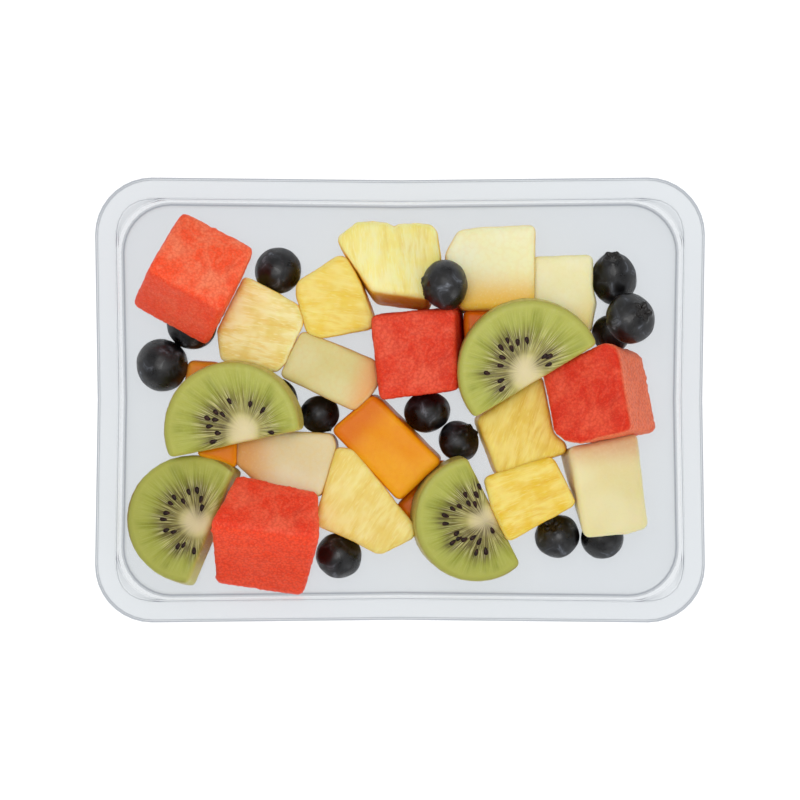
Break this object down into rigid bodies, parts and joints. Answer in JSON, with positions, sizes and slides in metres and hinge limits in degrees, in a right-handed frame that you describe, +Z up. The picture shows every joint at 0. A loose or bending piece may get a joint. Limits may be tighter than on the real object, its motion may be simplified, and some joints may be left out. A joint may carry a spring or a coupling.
{
  "type": "fruit salad in a clear tray",
  "caption": "Cut fruit salad of melon, watermelon, pineapple, kiwi and blueberries lying in an open clear rectangular plastic tray.",
  "frame": {"origin": "centre of the tray's footprint, on the surface that it stands on", "axes": "+X along the tray's long side, +Y along its short side, +Z up"},
  "size_m": [0.1874, 0.1368, 0.04],
  "materials": {
    "clear_plastic": "clear thermoformed sheet, glossy, faintly blue",
    "watermelon_flesh": "moist grainy red flesh with pale veins",
    "pineapple_flesh": "moist yellow flesh with fine fibres",
    "pale_melon_flesh": "moist smooth cream flesh",
    "orange_melon_flesh": "moist smooth orange flesh",
    "kiwi_flesh": "moist green flesh, pale core with rays and dark seeds",
    "blueberry_skin": "dark skin with a grey bloom"
  },
  "bodies": {
    "root": {"tray": "clear_plastic", "watermelon_01": "watermelon_flesh", "watermelon_02": "watermelon_flesh", "watermelon_03": "watermelon_flesh", "watermelon_04": "watermelon_flesh", "pineapple_01": "pineapple_flesh", "pineapple_02": "pineapple_flesh", "pineapple_03": "pineapple_flesh", "pineapple_04": "pineapple_flesh", "pineapple_05": "pineapple_flesh", "pineapple_06": "pineapple_flesh", "honeydew_01": "pale_melon_flesh", "honeydew_02": "pale_melon_flesh", "honeydew_03": "pale_melon_flesh", "honeydew_04": "pale_melon_flesh", "honeydew_05": "pale_melon_flesh", "honeydew_06": "pale_melon_flesh", "cantaloupe_01": "orange_melon_flesh", "cantaloupe_02": "orange_melon_flesh", "cantaloupe_03": "orange_melon_flesh", "cantaloupe_04": "orange_melon_flesh", "cantaloupe_05": "orange_melon_flesh", "kiwi_01": "kiwi_flesh", "kiwi_02": "kiwi_flesh", "kiwi_03": "kiwi_flesh", "kiwi_04": "kiwi_flesh", "blueberry_01": "blueberry_skin", "blueberry_02": "blueberry_skin", "blueberry_03": "blueberry_skin", "blueberry_04": "blueberry_skin", "blueberry_05": "blueberry_skin", "blueberry_06": "blueberry_skin", "blueberry_07": "blueberry_skin", "blueberry_08": "blueberry_skin", "blueberry_09": "blueberry_skin", "blueberry_10": "blueberry_skin", "blueberry_11": "blueberry_skin", "blueberry_12": "blueberry_skin", "blueberry_13": "blueberry_skin", "blueberry_14": "blueberry_skin"}
  },
  "joints": []
}
